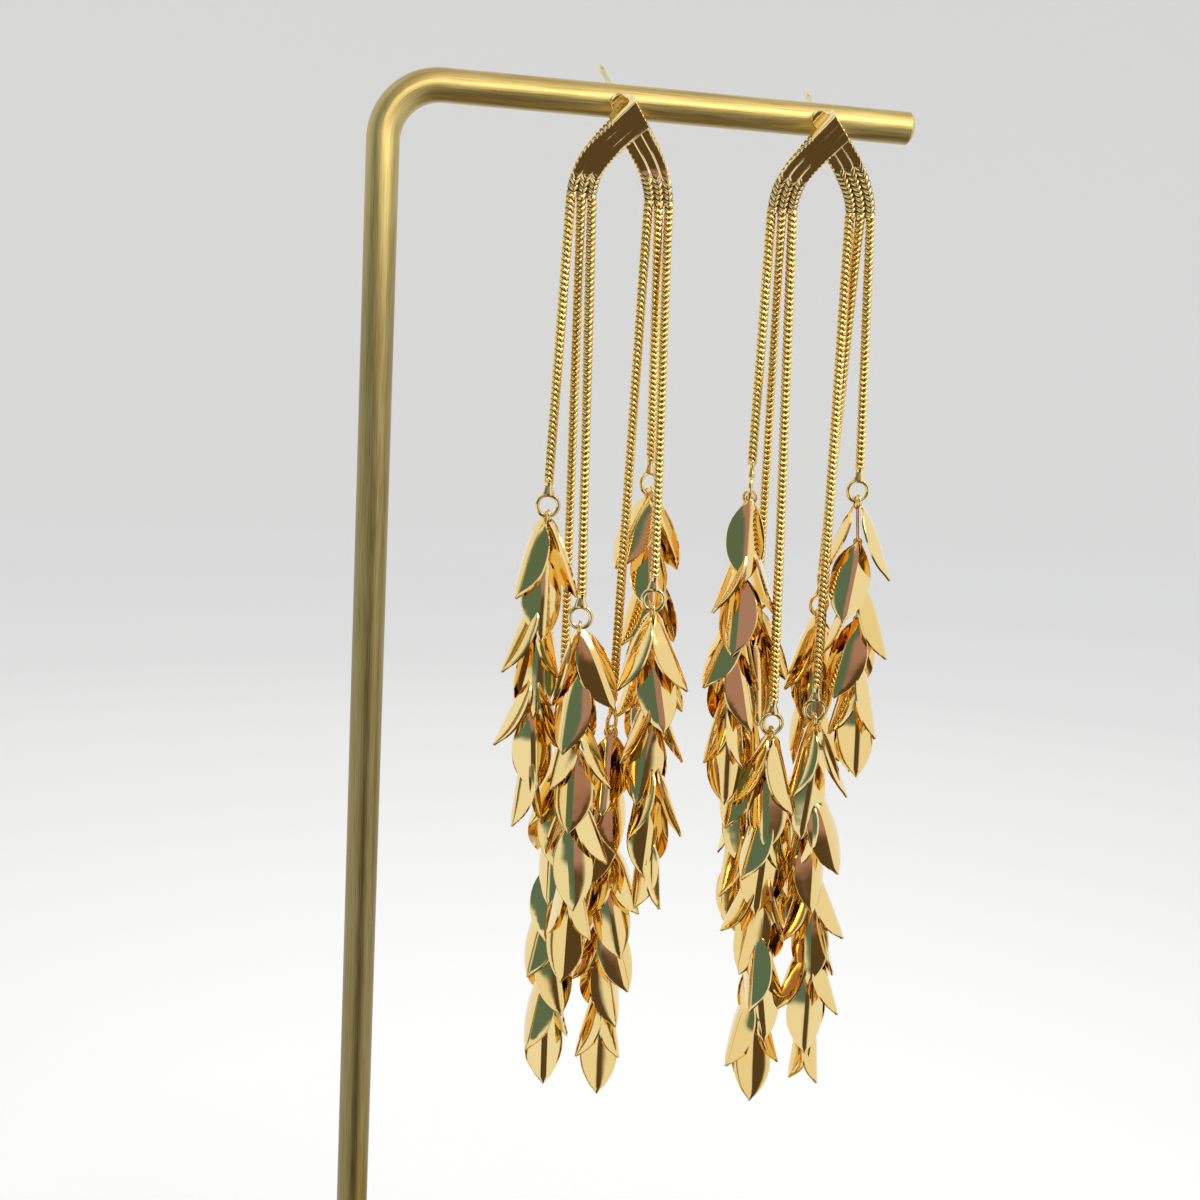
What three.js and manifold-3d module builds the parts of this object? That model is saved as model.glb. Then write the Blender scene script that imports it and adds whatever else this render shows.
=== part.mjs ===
// A pair of dangle earrings hung on a bent-rod display stand.
// Millimetres, +Z up. The origin is on the table, at the middle of the stand's base. The arm runs along +X.
// Each earring is a soldered crown of two crossed bands with an ear post, six fine chains hanging from it,
// a ring at the foot of each chain, and a drop of folded leaves on each ring.
import * as THREE from "three";
import { mergeVertices } from "three/addons/utils/BufferGeometryUtils.js";
import Module from "manifold-3d";

const wasm = await Module();
wasm.setup();

// ---------- Driving dimensions ----------

const CLEARANCE = 0.3; // between pieces that touch or pass through each other

const ROD_DIAMETER = 4;
const ROD_RADIUS = ROD_DIAMETER / 2;
const ARM_HEIGHT = 180; // table to the arm's centre line
const ARM_REACH = 66; // upright's centre line to the arm's free end
const ROD_BEND = 7; // centre-line radius of the rod's bend
const ROD_CHAMFER = 0.35;
const ROD_SIDES = 20;
const ROD_BEND_STEPS = 7;

const BASE_WIDTH = 90;
const BASE_DEPTH = 60;
const BASE_THICKNESS = 5;
const BASE_CORNER = 6;
const BASE_BEVEL = 0.5;
const BASE_FLOOR = 1.5; // metal left under the rod's socket
const UPRIGHT_X = -33;

const POST_RADIUS = 0.4;
const POST_LENGTH = 12.4; // from the crown's back
const POST_X = -1.2; // from the crown's middle
const POST_ABOVE_AXIS = 0.8; // how far above the arm's centre line the post passes
const POST_TIP_TAPER = 0.4; // length of the tip's taper
const POST_TIP_RADIUS = 0.2;
const POST_SIDES = 10;
const PAD_RADIUS = 1.1;
const PAD_THICKNESS = 0.5;
const SOLDER_DEPTH = 0.2; // how far a soldered piece runs into its neighbour

const CHAIN_DIAMETER = 1.15;
const CHAIN_SPACING = 1.35; // between the chains of one band, where they leave it
const CHAIN_SIDES = 8;
const CHAIN_STEP = 3 * CHAIN_DIAMETER;

const BAND_WIDTH = 3.8;
const BAND_THICKNESS = 1.3;
const BAND_FOOT_X = 4.95; // crown's middle to the middle of a band's foot
const BAND_FOOT_DROP = 11.2; // post's level down to the band's foot, along the crown
const BAND_BEND = 10; // radius of a band's curve, in the crown's own plane
const BAND_SWEEP = THREE.MathUtils.degToRad(39);
const BAND_STRAIGHT = 6.5;
const BAND_STEPS = 10;
const BAND_OFFSET = 0.6; // one band passes in front of the other by this much each
const LEAN_STRAIGHT = 1.5; // below the post the crown keeps its tilt for this long
const LEAN_CURVE = 7; // and then turns down to the plumb line over this length

const RING_RADIUS = 1.35; // to the middle of the wire
const RING_WIRE = 0.3; // wire radius
const EYE_RADIUS = 0.85;
const EYE_WIRE = 0.22;
const CAP_HEIGHT = 1.8;
const CAP_TOP_RADIUS = 0.52;
const CAP_FOOT_RADIUS = 0.85;
const CAP_FLARE = 0.6; // share of the cap's height that widens towards the ring

const THREAD_RADIUS = 0.5;
const FIRST_ROW_DROP = 1.6; // ring's centre to the necks of the first row
const LEAF_LENGTH = 10.3;
const LEAF_HALF_WIDTH = 2.4; // as folded
const LEAF_THICKNESS = 0.7; // at the midrib
const LEAF_FOLD = THREE.MathUtils.degToRad(27); // each half folds back by this much
const LEAF_NECK_RADIUS = 0.2; // a leaf starts inside the thread, this far from its middle
const LEAF_FLARE = THREE.MathUtils.degToRad(23); // the rows below hold a leaf out by this much
const LAST_ROW_FLARE = THREE.MathUtils.degToRad(8);
const LEAF_FLARE_LEAST = THREE.MathUtils.degToRad(2);
const NEIGHBOUR_GAP = 0.2; // a leaf keeps this far from the plane midway to the next drop
const FACING = 0.2; // a neighbour is in a leaf's way when the cosine of its direction is above this

// An earring's place on the arm, how its post tips up at the back and turns about the plumb line,
// and its six drops. chain is the chain's slot in its band, counted from the crown's outside.
// ring_x and ring_y are from the plumb line under the crown's middle, and ring_drop is below the arm's
// centre line. length is from the ring's centre to the lowest tips. lean_x and lean_y are how far the drop's
// foot hangs from under its ring. ring_turn and turn are in degrees: with no turn the ring faces the front
// and the first row of leaves is at the sides.
const EARRINGS = [
  {
    name: "earring_1", x: -4.1, post_tilt: 32, turn: 6,
    drops: [
      { name: "l_short", side: -1, chain: 0, ring_x: -7.1, ring_y: -0.4, ring_drop: 49.8, ring_turn: 0,
        rows: 7, length: 41.5, lean_x: -0.9, lean_y: 0.3, turn: 0 },
      { name: "l_mid", side: -1, chain: 2, ring_x: -3.0, ring_y: -4.0, ring_drop: 63.5, ring_turn: -15,
        rows: 8, length: 47.5, lean_x: 0.3, lean_y: -0.2, turn: -40 },
      { name: "l_long", side: -1, chain: 1, ring_x: -2.9, ring_y: 3.2, ring_drop: 80.8, ring_turn: 10,
        rows: 8, length: 48.2, lean_x: -0.4, lean_y: 0, turn: 10 },
      { name: "r_long", side: 1, chain: 2, ring_x: 3.3, ring_y: 1.0, ring_drop: 78.4, ring_turn: 50,
        rows: 9, length: 51.5, lean_x: 0.7, lean_y: 0, turn: 65 },
      { name: "r_mid", side: 1, chain: 0, ring_x: 6.6, ring_y: -3.6, ring_drop: 61.2, ring_turn: -10,
        rows: 7, length: 40.6, lean_x: 1.4, lean_y: -0.4, turn: -15 },
      { name: "r_short", side: 1, chain: 1, ring_x: 7.4, ring_y: 3.7, ring_drop: 46.7, ring_turn: 20,
        rows: 7, length: 41.4, lean_x: 2.0, lean_y: 0.6, turn: 20 },
    ],
  },
  {
    name: "earring_2", x: 21.8, post_tilt: 26, turn: -7,
    drops: [
      { name: "l_short", side: -1, chain: 0, ring_x: -6.3, ring_y: -0.6, ring_drop: 46.4, ring_turn: 80,
        rows: 7, length: 41.8, lean_x: -0.9, lean_y: -0.6, turn: -85 },
      { name: "l_mid", side: -1, chain: 1, ring_x: -3.5, ring_y: 4.2, ring_drop: 61.6, ring_turn: 0,
        rows: 8, length: 46.5, lean_x: -0.3, lean_y: 0.3, turn: 15 },
      { name: "l_long", side: -1, chain: 2, ring_x: -1.5, ring_y: -2.4, ring_drop: 77.3, ring_turn: 10,
        rows: 10, length: 52.3, lean_x: 0.3, lean_y: 0, turn: 0 },
      { name: "r_long", side: 1, chain: 2, ring_x: 4.3, ring_y: -1.5, ring_drop: 75.4, ring_turn: 0,
        rows: 9, length: 52.0, lean_x: 2.2, lean_y: 0, turn: -10 },
      { name: "r_mid", side: 1, chain: 1, ring_x: 5.0, ring_y: 4.6, ring_drop: 62.1, ring_turn: 20,
        rows: 8, length: 46.2, lean_x: -0.4, lean_y: 0.3, turn: 25 },
      { name: "r_short", side: 1, chain: 0, ring_x: 8.0, ring_y: 0.2, ring_drop: 46.2, ring_turn: 10,
        rows: 6, length: 37.6, lean_x: 2.1, lean_y: -0.6, turn: -12 },
    ],
  },
];

// ---------- Materials ----------

const brushedBrass = () => new THREE.MeshStandardMaterial({ color: 0xb89848, roughness: 0.38, metalness: 1 });
const polishedGold = () => new THREE.MeshStandardMaterial({ color: 0xe8c26a, roughness: 0.1, metalness: 1 });
const chainGold = () => new THREE.MeshStandardMaterial({ color: 0xd9aa45, roughness: 0.25, metalness: 1 });

// ---------- Solids ----------

// A closed geometry as a solid that can be joined and cut.
function solid(geometry) {
  const bare = geometry.clone();
  bare.deleteAttribute("normal");
  bare.deleteAttribute("uv");
  const merged = mergeVertices(bare, 1e-4);
  return new wasm.Manifold(
    new wasm.Mesh({
      numProp: 3,
      vertProperties: new Float32Array(merged.attributes.position.array),
      triVerts: new Uint32Array(merged.index.array),
    }),
  );
}

// A solid back as a geometry.
function geometryOf(made) {
  const mesh = made.getMesh();
  const geometry = new THREE.BufferGeometry();
  geometry.setAttribute("position", new THREE.BufferAttribute(new Float32Array(mesh.vertProperties), 3));
  geometry.setIndex(new THREE.BufferAttribute(new Uint32Array(mesh.triVerts), 1));
  geometry.computeVertexNormals();
  return geometry;
}

function named(name, geometry, material) {
  const mesh = new THREE.Mesh(geometry, material);
  mesh.name = name;
  return mesh;
}

// A path whose sections stand at the listed points and nowhere else.
class Route extends THREE.Curve {
  constructor(points) {
    super();
    this.points = points;
  }
  getPoint(t, target = new THREE.Vector3()) {
    const place = t * (this.points.length - 1);
    const from = Math.min(Math.floor(place + 1e-9), this.points.length - 2);
    return target.lerpVectors(this.points[from], this.points[from + 1], place - from);
  }
  getPointAt(u, target) {
    return this.getPoint(u, target);
  }
  getTangentAt(u, target = new THREE.Vector3()) {
    const last = this.points.length - 1;
    const at = Math.round(u * last);
    const before = this.points[Math.max(at - 1, 0)];
    const after = this.points[Math.min(at + 1, last)];
    return target.subVectors(after, before).normalize();
  }
}

// A round bar along a list of points.
function bar(points, radius, sides) {
  const circle = new THREE.EllipseCurve(0, 0, radius, radius).getPoints(sides);
  const round = new THREE.Shape(circle.slice(0, sides));
  return new THREE.ExtrudeGeometry(round, { steps: points.length - 1, extrudePath: new Route(points) });
}

// A round section turned about +Z, from rows of [radius, height].
function turned(rows, sides) {
  const profile = rows.map(([radius, height]) => new THREE.Vector2(radius, height));
  return new THREE.LatheGeometry(profile, sides).rotateX(Math.PI / 2);
}

// ---------- Stand ----------

// The plate has a blind socket for the rod.
function standBase() {
  const halfWidth = BASE_WIDTH / 2 - BASE_CORNER;
  const halfDepth = BASE_DEPTH / 2 - BASE_CORNER;
  const radius = BASE_CORNER - BASE_BEVEL;
  const outline = new THREE.Shape();
  outline.absarc(halfWidth, halfDepth, radius, 0, Math.PI / 2);
  outline.absarc(-halfWidth, halfDepth, radius, Math.PI / 2, Math.PI);
  outline.absarc(-halfWidth, -halfDepth, radius, Math.PI, 1.5 * Math.PI);
  outline.absarc(halfWidth, -halfDepth, radius, 1.5 * Math.PI, 2 * Math.PI);
  const plate = new THREE.ExtrudeGeometry(outline, {
    depth: BASE_THICKNESS - 2 * BASE_BEVEL,
    bevelThickness: BASE_BEVEL,
    bevelSize: BASE_BEVEL,
    bevelSegments: 1,
    curveSegments: 5,
  }).translate(0, 0, BASE_BEVEL);
  const socketRadius = ROD_RADIUS + CLEARANCE;
  const socket = turned([[0, BASE_FLOOR], [socketRadius, BASE_FLOOR], [socketRadius, BASE_THICKNESS + 1],
    [0, BASE_THICKNESS + 1]], ROD_SIDES).translate(UPRIGHT_X, 0, 0);
  return geometryOf(solid(plate).subtract(solid(socket)));
}

// The rod goes up, turns through a quarter circle and runs along the arm.
function rodRoute() {
  const points = [new THREE.Vector3(UPRIGHT_X, 0, BASE_FLOOR + CLEARANCE)];
  for (let i = 0; i <= ROD_BEND_STEPS; i++) {
    const angle = (i / ROD_BEND_STEPS) * (Math.PI / 2);
    points.push(new THREE.Vector3(UPRIGHT_X + ROD_BEND * (1 - Math.cos(angle)), 0,
      ARM_HEIGHT - ROD_BEND * (1 - Math.sin(angle))));
  }
  points.push(new THREE.Vector3(UPRIGHT_X + ARM_REACH, 0, ARM_HEIGHT));
  return points;
}

// The ring of metal that the chamfer at the arm's free end takes off.
function chamferRing() {
  const inside = ROD_RADIUS - ROD_CHAMFER;
  const past = 1; // how far the cutter stands clear of the rod
  const rows = [[inside, 0], [ROD_RADIUS + past, -ROD_CHAMFER - past], [ROD_RADIUS + past, past],
    [inside - past, past], [inside, 0]];
  return turned(rows, ROD_SIDES).rotateY(Math.PI / 2).translate(UPRIGHT_X + ARM_REACH, 0, ARM_HEIGHT);
}

// The rod has a slanting hole for each post.
function standRod() {
  let rod = solid(bar(rodRoute(), ROD_RADIUS, ROD_SIDES)).subtract(solid(chamferRing()));
  for (const earring of EARRINGS) {
    const reach = 3 * ROD_DIAMETER;
    const radius = POST_RADIUS + CLEARANCE;
    const drill = turned([[0, -reach], [radius, -reach], [radius, reach], [0, reach]], POST_SIDES);
    rod = rod.subtract(solid(drill.applyMatrix4(postFrame(earring))));
  }
  return geometryOf(rod);
}

// ---------- Crown ----------

// The crown is a sheet that leans forward at the post and turns down to the plumb line below it.
// Gives the middle of the sheet, and its normal towards the back, at a height along it above the post.
function sheetAt(earring, height) {
  const tilt = THREE.MathUtils.degToRad(earring.post_tilt);
  const fromAxis = ROD_RADIUS + CLEARANCE + PAD_THICKNESS + BAND_OFFSET + BAND_THICKNESS / 2;
  const post = { y: -fromAxis * Math.cos(tilt) - POST_ABOVE_AXIS * Math.sin(tilt),
    z: -fromAxis * Math.sin(tilt) + POST_ABOVE_AXIS * Math.cos(tilt) };
  const straight = Math.max(height, -LEAN_STRAIGHT);
  const curved = Math.min(Math.max(-LEAN_STRAIGHT - height, 0), LEAN_CURVE);
  const plumb = Math.max(-LEAN_STRAIGHT - LEAN_CURVE - height, 0);
  const radius = LEAN_CURVE / tilt;
  const angle = tilt - curved / radius;
  return {
    y: post.y - straight * Math.sin(tilt) + radius * (Math.cos(angle) - Math.cos(tilt)),
    z: post.z + straight * Math.cos(tilt) - radius * (Math.sin(tilt) - Math.sin(angle)) - plumb,
    normal: { y: Math.cos(angle), z: Math.sin(angle) },
  };
}

// The middle line of a band, in the crown's plane: a curve and then a straight run to the cut end.
function bandAt(along) {
  const curveLength = BAND_BEND * BAND_SWEEP;
  const angle = Math.min(along / BAND_BEND, BAND_SWEEP);
  const straight = Math.max(along - curveLength, 0);
  return {
    across: -BAND_FOOT_X + BAND_BEND * (1 - Math.cos(angle)) + straight * Math.sin(angle),
    height: -BAND_FOOT_DROP + BAND_BEND * Math.sin(angle) + straight * Math.cos(angle),
    angle,
  };
}

// A straight strip bent along the band's line and onto the crown's sheet. Side -1 is the left band, in front.
function band(earring, side) {
  const length = BAND_BEND * BAND_SWEEP + BAND_STRAIGHT;
  const strip = new THREE.BoxGeometry(BAND_WIDTH, BAND_THICKNESS, length, 1, 1, BAND_STEPS);
  const place = strip.attributes.position;
  for (let i = 0; i < place.count; i++) {
    const along = place.getZ(i) + length / 2;
    const middle = bandAt(along);
    const across = middle.across + place.getX(i) * Math.cos(middle.angle);
    const sheet = sheetAt(earring, middle.height - place.getX(i) * Math.sin(middle.angle));
    const through = place.getY(i) + side * BAND_OFFSET * THREE.MathUtils.smoothstep(along, 0, length / 2);
    place.setXYZ(i, across, sheet.y + through * sheet.normal.y, sheet.z + through * sheet.normal.z);
  }
  return side < 0 ? strip : mirrored(strip);
}

// The strip's mirror image from left to right, with its faces still outward.
function mirrored(geometry) {
  geometry.scale(-1, 1, 1);
  const index = geometry.index;
  for (let i = 0; i < index.count; i += 3) {
    const kept = index.getX(i);
    index.setX(i, index.getX(i + 1));
    index.setX(i + 1, kept);
  }
  return geometry;
}

// The earring's plumb line in the stand's frame: an earring turns about it.
function earringFrame(earring) {
  return new THREE.Matrix4()
    .makeTranslation(earring.x, 0, ARM_HEIGHT)
    .multiply(new THREE.Matrix4().makeRotationZ(THREE.MathUtils.degToRad(earring.turn)));
}

// The post's own frame: +Z along the post towards its tip, origin in the middle of the crown's sheet.
function postFrame(earring) {
  const sheet = sheetAt(earring, 0);
  const tip = THREE.MathUtils.degToRad(90 - earring.post_tilt);
  return earringFrame(earring)
    .multiply(new THREE.Matrix4().makeTranslation(POST_X, sheet.y, sheet.z))
    .multiply(new THREE.Matrix4().makeRotationX(-tip));
}

// The post stands on a small pad soldered to the back of the crown.
function post() {
  const back = BAND_OFFSET + BAND_THICKNESS / 2;
  const start = back - SOLDER_DEPTH;
  const pad = back + PAD_THICKNESS;
  const tip = back + POST_LENGTH;
  const rows = [[0, start], [PAD_RADIUS, start], [PAD_RADIUS, pad], [POST_RADIUS, pad],
    [POST_RADIUS, tip - POST_TIP_TAPER], [POST_TIP_RADIUS, tip], [0, tip]];
  return turned(rows, POST_SIDES);
}

function crown(earring) {
  const bands = solid(band(earring, -1)).add(solid(band(earring, 1)));
  const inStand = bands.transform(earringFrame(earring).elements);
  return geometryOf(inStand.add(solid(post().applyMatrix4(postFrame(earring)))));
}

// ---------- Chains, rings and drops ----------

// The middle of a drop's ring.
function ringCentre(drop) {
  return new THREE.Vector3(drop.ring_x, drop.ring_y, -drop.ring_drop);
}

// Where a chain leaves its band, a gap below the band's foot.
function chainTop(earring, drop) {
  const sheet = sheetAt(earring, -BAND_FOOT_DROP);
  const fromMiddle = (1 - drop.chain) * CHAIN_SPACING;
  return new THREE.Vector3(drop.side * (BAND_FOOT_X + fromMiddle), sheet.y, sheet.z - CLEARANCE);
}

function chainFoot(drop) {
  return ringCentre(drop).add(new THREE.Vector3(0, 0, RING_RADIUS + CAP_HEIGHT + CLEARANCE));
}

// A chain is taut: it hangs in a straight line under its band.
function chainRoute(earring, drop) {
  const top = chainTop(earring, drop);
  const foot = chainFoot(drop);
  const steps = Math.ceil(top.distanceTo(foot) / CHAIN_STEP);
  return Array.from({ length: steps + 1 }, (_, i) => top.clone().lerp(foot, i / steps));
}

function wireRing(radius, wire, wireSides, sides) {
  return new THREE.TorusGeometry(radius, wire, wireSides, sides).rotateX(Math.PI / 2);
}

// The chain's end cap and the ring soldered to it. A ring with no turn faces the front.
function ringAndCap(drop) {
  const ring = solid(wireRing(RING_RADIUS, RING_WIRE, 6, 14));
  const foot = RING_RADIUS - RING_WIRE / 2;
  const top = RING_RADIUS + CAP_HEIGHT;
  const rows = [[0, foot], [CAP_FOOT_RADIUS, foot], [CAP_TOP_RADIUS, foot + CAP_FLARE * CAP_HEIGHT],
    [CAP_TOP_RADIUS, top], [0, top]];
  const cap = solid(turned(rows, 8));
  const centre = ringCentre(drop);
  const turn = new THREE.Matrix4().makeRotationZ(THREE.MathUtils.degToRad(drop.ring_turn));
  return ring.add(cap).transform(turn.setPosition(centre).elements);
}

// A leaf is a diamond-shaped plate, thick at its midrib and sharp at its rim, with both halves folded back.
// In a leaf's frame +X faces outward, +Y is across and the leaf hangs along -Z from its neck.
function leafPlate() {
  const plate = new THREE.OctahedronGeometry(1).scale(LEAF_THICKNESS / 2, LEAF_HALF_WIDTH, LEAF_LENGTH / 2);
  const place = plate.attributes.position;
  for (let i = 0; i < place.count; i++) {
    place.setX(i, place.getX(i) - Math.abs(place.getY(i)) * Math.tan(LEAF_FOLD));
  }
  return plate.translate(0, 0, -LEAF_LENGTH / 2);
}

const LEAF = solid(leafPlate());

// How far below the ring's centre the leaves of a row start.
function rowDepth(drop, row) {
  const pitch = (drop.length - FIRST_ROW_DROP - LEAF_LENGTH) / (drop.rows - 1);
  return FIRST_ROW_DROP + row * pitch;
}

// The middle of a drop at a depth below the ring's centre. The last leaves carry on the thread's line.
function threadAt(drop, depth) {
  const lean = depth / rowDepth(drop, drop.rows - 1);
  return ringCentre(drop).add(new THREE.Vector3(drop.lean_x * lean, drop.lean_y * lean, -depth));
}

// What stands beside a drop at a height: the other drops' threads, and the chains of those that start lower.
// Each is given by its place and by how near a leaf may come, as a share of the distance less an allowance.
function neighboursAt(earring, drop, height) {
  return earring.drops.filter((other) => other !== drop).map((other) => {
    const depth = -other.ring_drop - height;
    if (depth > other.length) return null;
    if (depth > FIRST_ROW_DROP) {
      return { place: threadAt(other, depth), share: 0.5, allowance: NEIGHBOUR_GAP };
    }
    const top = chainTop(earring, other);
    const end = chainFoot(other);
    const down = THREE.MathUtils.clamp((top.z - height) / (top.z - end.z), 0, 1);
    return { place: top.lerp(end, down), share: 1, allowance: CHAIN_DIAMETER / 2 + CLEARANCE };
  }).filter(Boolean);
}

// The rows below hold a leaf out, so the last two rows hang nearer to plumb.
function freeFlare(drop, row) {
  const held = Math.min((drop.rows - 1 - row) / 2, 1);
  return THREE.MathUtils.lerp(LAST_ROW_FLARE, LEAF_FLARE, held);
}

// How far a leaf may flare: its tip and its widest part both stay on their own side of every neighbour.
function flareWithRoom(earring, drop, row, neck, azimuth) {
  let slope = Math.sin(freeFlare(drop, row));
  for (const reach of [0.5 * LEAF_LENGTH, LEAF_LENGTH]) {
    const halfWidth = reach < LEAF_LENGTH ? LEAF_HALF_WIDTH : 0;
    for (const neighbour of neighboursAt(earring, drop, neck.z - reach)) {
      const offset = neighbour.place.clone().sub(neck);
      const distance = Math.hypot(offset.x, offset.y);
      const between = azimuth - Math.atan2(offset.y, offset.x);
      if (Math.cos(between) < FACING) continue;
      const room = distance * neighbour.share - neighbour.allowance - halfWidth * Math.abs(Math.sin(between));
      slope = Math.min(slope, (room / Math.cos(between) - LEAF_NECK_RADIUS) / reach);
    }
  }
  return Math.max(Math.asin(Math.max(slope, 0)), LEAF_FLARE_LEAST);
}

// Rows of two leaves each: each row is a quarter turn from the row above.
function leafPlaces(earring, drop) {
  const places = [];
  for (let row = 0; row < drop.rows; row++) {
    const neck = threadAt(drop, rowDepth(drop, row));
    for (const half of [0, 1]) {
      const azimuth = THREE.MathUtils.degToRad(drop.turn) + (row % 2) * (Math.PI / 2) + half * Math.PI;
      places.push({ neck, azimuth, flare: flareWithRoom(earring, drop, row, neck, azimuth) });
    }
  }
  return places;
}

// The leaves joined along their thread, with the eye that hangs on the ring.
function leafDrop(earring, drop) {
  const eyeCentre = ringCentre(drop).add(new THREE.Vector3(0, 0, -RING_RADIUS));
  const eye = wireRing(EYE_RADIUS, EYE_WIRE, 5, 8).rotateZ(THREE.MathUtils.degToRad(drop.ring_turn + 90));
  const top = eyeCentre.clone().add(new THREE.Vector3(0, 0, EYE_WIRE / 2 - EYE_RADIUS));
  const foot = threadAt(drop, rowDepth(drop, drop.rows - 1) + THREAD_RADIUS);
  const thread = bar([top, foot], THREAD_RADIUS, 6);
  const pieces = [solid(eye.translate(eyeCentre.x, eyeCentre.y, eyeCentre.z)), solid(thread)];
  for (const { neck, azimuth, flare } of leafPlaces(earring, drop)) {
    const place = new THREE.Matrix4()
      .makeTranslation(neck.x, neck.y, Math.min(neck.z, top.z - SOLDER_DEPTH))
      .multiply(new THREE.Matrix4().makeRotationZ(azimuth))
      .multiply(new THREE.Matrix4().makeTranslation(LEAF_NECK_RADIUS, 0, 0))
      .multiply(new THREE.Matrix4().makeRotationY(-flare));
    pieces.push(LEAF.transform(place.elements));
  }
  return wasm.Manifold.union(pieces);
}

// ---------- Assembly ----------

function earringMeshes(earring) {
  const frame = earringFrame(earring);
  const meshes = [named(`${earring.name}_crown`, crown(earring), polishedGold())];
  for (const drop of earring.drops) {
    const chain = bar(chainRoute(earring, drop), CHAIN_DIAMETER / 2, CHAIN_SIDES).applyMatrix4(frame);
    meshes.push(named(`${earring.name}_chain_${drop.name}`, chain, chainGold()));
    const ring = geometryOf(ringAndCap(drop)).applyMatrix4(frame);
    meshes.push(named(`${earring.name}_ring_${drop.name}`, ring, polishedGold()));
    const leaves = geometryOf(leafDrop(earring, drop)).applyMatrix4(frame);
    meshes.push(named(`${earring.name}_leaves_${drop.name}`, leaves, polishedGold()));
  }
  return meshes;
}

const model = new THREE.Group();
model.add(named("stand_base", standBase(), brushedBrass()));
model.add(named("stand_rod", standRod(), brushedBrass()));
EARRINGS.forEach((earring) => model.add(...earringMeshes(earring)));

export default model;
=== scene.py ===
"""Finished surfaces for a pair of dangle earrings on a bent-rod display stand.

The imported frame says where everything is, in metres. Shapes are worked out in millimetres, with the same
driving dimensions as the frame, and turned to metres when a mesh is made.
"""

import math

import bpy
import numpy as np
from mathutils import Matrix


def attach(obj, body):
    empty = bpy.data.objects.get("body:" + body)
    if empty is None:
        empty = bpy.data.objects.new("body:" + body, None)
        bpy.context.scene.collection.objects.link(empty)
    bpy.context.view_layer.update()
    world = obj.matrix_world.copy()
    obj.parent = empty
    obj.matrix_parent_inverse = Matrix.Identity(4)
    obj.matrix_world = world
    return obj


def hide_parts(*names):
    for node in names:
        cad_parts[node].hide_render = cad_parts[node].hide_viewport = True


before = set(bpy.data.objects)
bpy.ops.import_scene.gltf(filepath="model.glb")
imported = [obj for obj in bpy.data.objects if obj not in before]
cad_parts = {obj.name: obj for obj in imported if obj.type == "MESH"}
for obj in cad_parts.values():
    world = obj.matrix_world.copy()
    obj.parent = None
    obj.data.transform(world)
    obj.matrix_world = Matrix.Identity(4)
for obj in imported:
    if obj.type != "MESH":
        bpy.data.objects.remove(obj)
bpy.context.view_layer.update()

MM = 0.001

# ---------- Driving dimensions, in millimetres ----------

ROD_RADIUS = 2.0
ARM_HEIGHT = 180.0
UPRIGHT_X = -33.0
ARM_END_X = 33.0
ROD_BEND = 7.0
ROD_CHAMFER = 0.35
ROD_FOOT = 1.8
SOCKET_RADIUS = 2.3
SOCKET_FLOOR = 1.5

BASE_HALF_WIDTH = 45.0
BASE_HALF_DEPTH = 30.0
BASE_THICKNESS = 5.0
BASE_CORNER = 6.0
BASE_EDGE = 0.5
# The plate's place along the lay, past the arm's end, where the brass has no painted shade.
PLATE_LAY = 400.0

CLEARANCE = 0.3
POST_RADIUS = 0.4
POST_LENGTH = 12.4
POST_X = -1.2
POST_ABOVE_AXIS = 0.8
PAD_RADIUS = 1.1
PAD_THICKNESS = 0.5

CHAIN_RADIUS = 0.575
CHAIN_SPACING = 1.35
LINK_PITCH = 0.68
# Where the rings of a link's skin lie, as shares of the link.
LINK_STEPS = np.array([0.0, 0.1, 0.3, 0.5, 0.7, 0.9])

BAND_WIDTH = 3.8
BAND_THICKNESS = 1.3
BAND_FOOT_X = 4.95
BAND_FOOT_DROP = 11.2
BAND_BEND = 10.0
BAND_SWEEP = math.radians(39)
BAND_STRAIGHT = 6.5
BAND_LENGTH = BAND_BEND * BAND_SWEEP + BAND_STRAIGHT
BAND_OFFSET = 0.6
# The two bands cross at twice the sweep, so a cut end is flush with the other band at this slope.
CUT_SLOPE = math.tan(math.pi / 2 - 2 * BAND_SWEEP)
LEAN_STRAIGHT = 1.5
LEAN_CURVE = 7.0

RING_RADIUS = 1.35
RING_WIRE = 0.3
EYE_RADIUS = 0.85
EYE_WIRE = 0.22
CAP_HEIGHT = 1.8
CAP_TOP_RADIUS = 0.52
CAP_FOOT_RADIUS = 0.85

FIRST_ROW_DROP = 1.6
# The frame's leaf, which the rows and the flares are worked out with, and the pressed leaf that is drawn.
LEAF_LENGTH = 10.3
LEAF_HALF_WIDTH = 2.4
PRESSED_LENGTH = 10.8
PRESSED_HALF_WIDTH = 2.6
LEAF_ROWS = 15
LEAF_SHEET = 0.3
LEAF_FOLD = math.radians(27)
LEAF_STRIPE = 0.42
LEAF_NECK_RADIUS = 0.2
LEAF_FLARE = math.radians(23)
LAST_ROW_FLARE = math.radians(8)
LEAF_FLARE_LEAST = math.radians(2)
NEIGHBOUR_GAP = 0.2
FACING = 0.2

# How the leaves hang out of true. SIDE_TURN turns those at the sides towards the front. The others are
# what one standard step of chance turns a leaf by: about the thread (more at the back), outwards,
# sideways in its own plane and about its own length.
SIDE_TURN = math.radians(18)
SWAY = math.radians(19)
SWAY_BEHIND = math.radians(8)
LIFT = math.radians(2.5)
SWING = math.radians(7)
TWIST = math.radians(9)

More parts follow.
